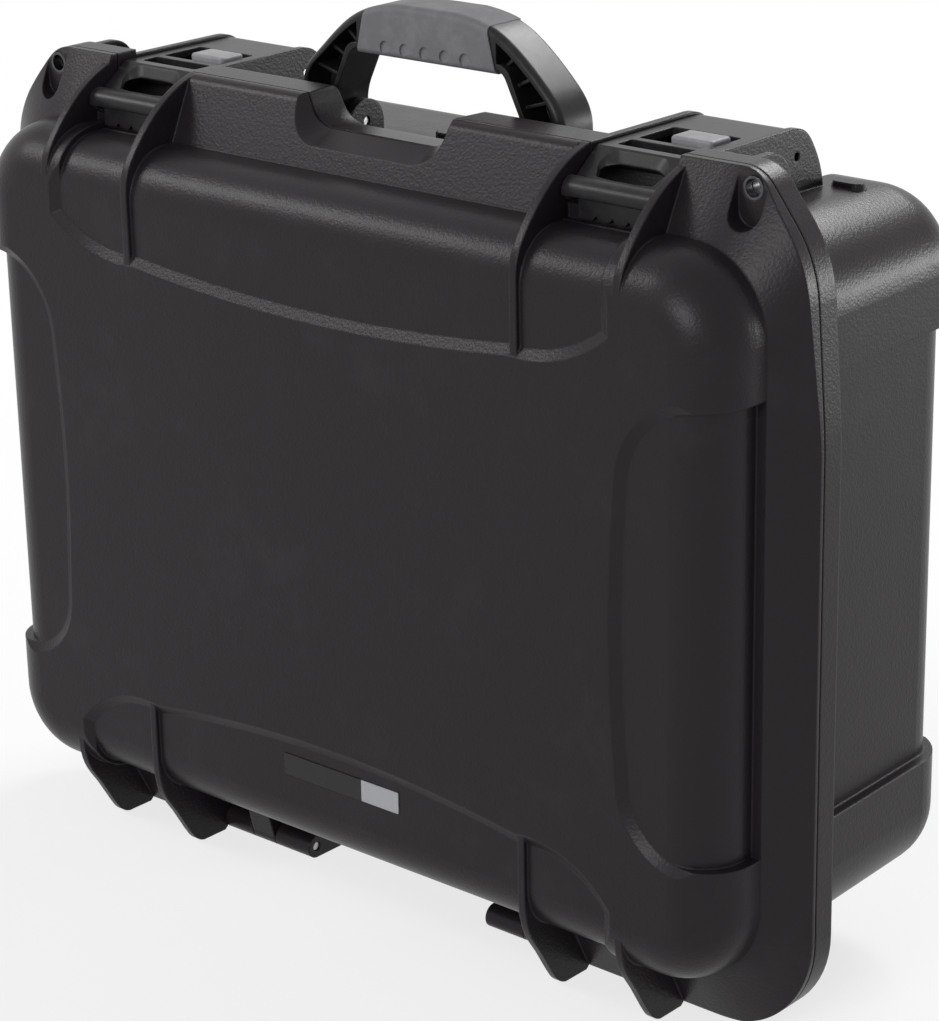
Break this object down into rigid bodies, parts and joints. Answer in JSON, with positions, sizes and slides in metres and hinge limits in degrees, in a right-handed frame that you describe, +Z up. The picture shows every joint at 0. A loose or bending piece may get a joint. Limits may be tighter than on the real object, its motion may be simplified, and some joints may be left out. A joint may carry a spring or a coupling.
{
  "type": "hard moulded mixer case",
  "caption": "Hard moulded transport case with a hinged front lid, over-centre latches, padlock eyes, a folding carrying handle with soft grip, and foam cut for an audio mixer.",
  "frame": {"origin": "on the floor under the middle of the closed case, which stands on its hinge side", "axes": "+X along the case's width, to the right as seen from the lid; -Y out of the lid's front; +Z up, towards the handle"},
  "size_m": [0.503, 0.193, 0.4415],
  "materials": {
    "shell_plastic": "fine moulded texture, slight sheen",
    "handle_plastic": "smooth moulded, low sheen",
    "grip_rubber": "soft overmould, satin",
    "latch_plastic": "smooth moulded, satin",
    "lock_plastic": "smooth, light grey",
    "pin_steel": "bright turned steel",
    "foam": "open-cell foam, matt",
    "gasket_rubber": "moulded seal, matt",
    "valve_plastic": "moulded, fluted edge",
    "dark_plate": "bare plate, satin",
    "pale_plate": "bare plate, satin"
  },
  "bodies": {
    "base": {"base_shell": "shell_plastic", "base_foam": "foam", "floor_pad": "foam", "hinge_pin_left": "pin_steel", "hinge_pin_right": "pin_steel", "latch_pivot_pin_left": "pin_steel", "latch_pivot_pin_right": "pin_steel", "valve_body": "valve_plastic", "valve_cap": "valve_plastic", "valve_nut": "valve_plastic", "base_padlock_bush_left": "pin_steel", "base_padlock_bush_right": "pin_steel"},
    "lid": {"lid_shell": "shell_plastic", "lid_gasket": "gasket_rubber", "lid_foam": "foam", "dark_plate": "dark_plate", "pale_plate": "pale_plate", "lid_padlock_bush_left": "pin_steel", "lid_padlock_bush_right": "pin_steel"},
    "handle": {"handle_frame": "handle_plastic", "handle_grip": "grip_rubber", "handle_pin_left": "pin_steel", "handle_pin_right": "pin_steel"},
    "latch_left": {"latch_arm_left": "latch_plastic", "latch_claw_pin_left": "pin_steel"},
    "claw_left": {"latch_claw_left": "latch_plastic"},
    "lock_left": {"latch_lock_left": "lock_plastic"},
    "latch_right": {"latch_arm_right": "latch_plastic", "latch_claw_pin_right": "pin_steel"},
    "claw_right": {"latch_claw_right": "latch_plastic"},
    "lock_right": {"latch_lock_right": "lock_plastic"}
  },
  "joints": [
    {"name": "lid_hinge", "type": "hinge", "parent": "base", "child": "lid", "pos_m": [0, -0.0445, 0.006], "axis": [1, 0, 0], "range_deg": [0, 95]},
    {"name": "handle_fold", "type": "hinge", "parent": "base", "child": "handle", "pos_m": [0, 0.0023, 0.3786], "axis": [-1, 0, 0], "range_deg": [0, 90]},
    {"name": "latch_left_open", "type": "hinge", "parent": "base", "child": "latch_left", "pos_m": [-0.1508, 0.0305, 0.389], "axis": [-1, 0, 0], "range_deg": [0, 115]},
    {"name": "claw_left_swing", "type": "hinge", "parent": "latch_left", "child": "claw_left", "pos_m": [-0.1508, -0.0595, 0.3845], "axis": [-1, 0, 0], "range_deg": [0, 20]},
    {"name": "lock_left_slide", "type": "slide", "parent": "latch_left", "child": "lock_left", "axis": [-1, 0, 0], "range_m": [0, 0.012]},
    {"name": "latch_right_open", "type": "hinge", "parent": "base", "child": "latch_right", "pos_m": [0.1508, 0.0305, 0.389], "axis": [-1, 0, 0], "range_deg": [0, 115]},
    {"name": "claw_right_swing", "type": "hinge", "parent": "latch_right", "child": "claw_right", "pos_m": [0.1508, -0.0595, 0.3845], "axis": [-1, 0, 0], "range_deg": [0, 20]},
    {"name": "lock_right_slide", "type": "slide", "parent": "latch_right", "child": "lock_right", "axis": [-1, 0, 0], "range_m": [0, 0.012]}
  ]
}
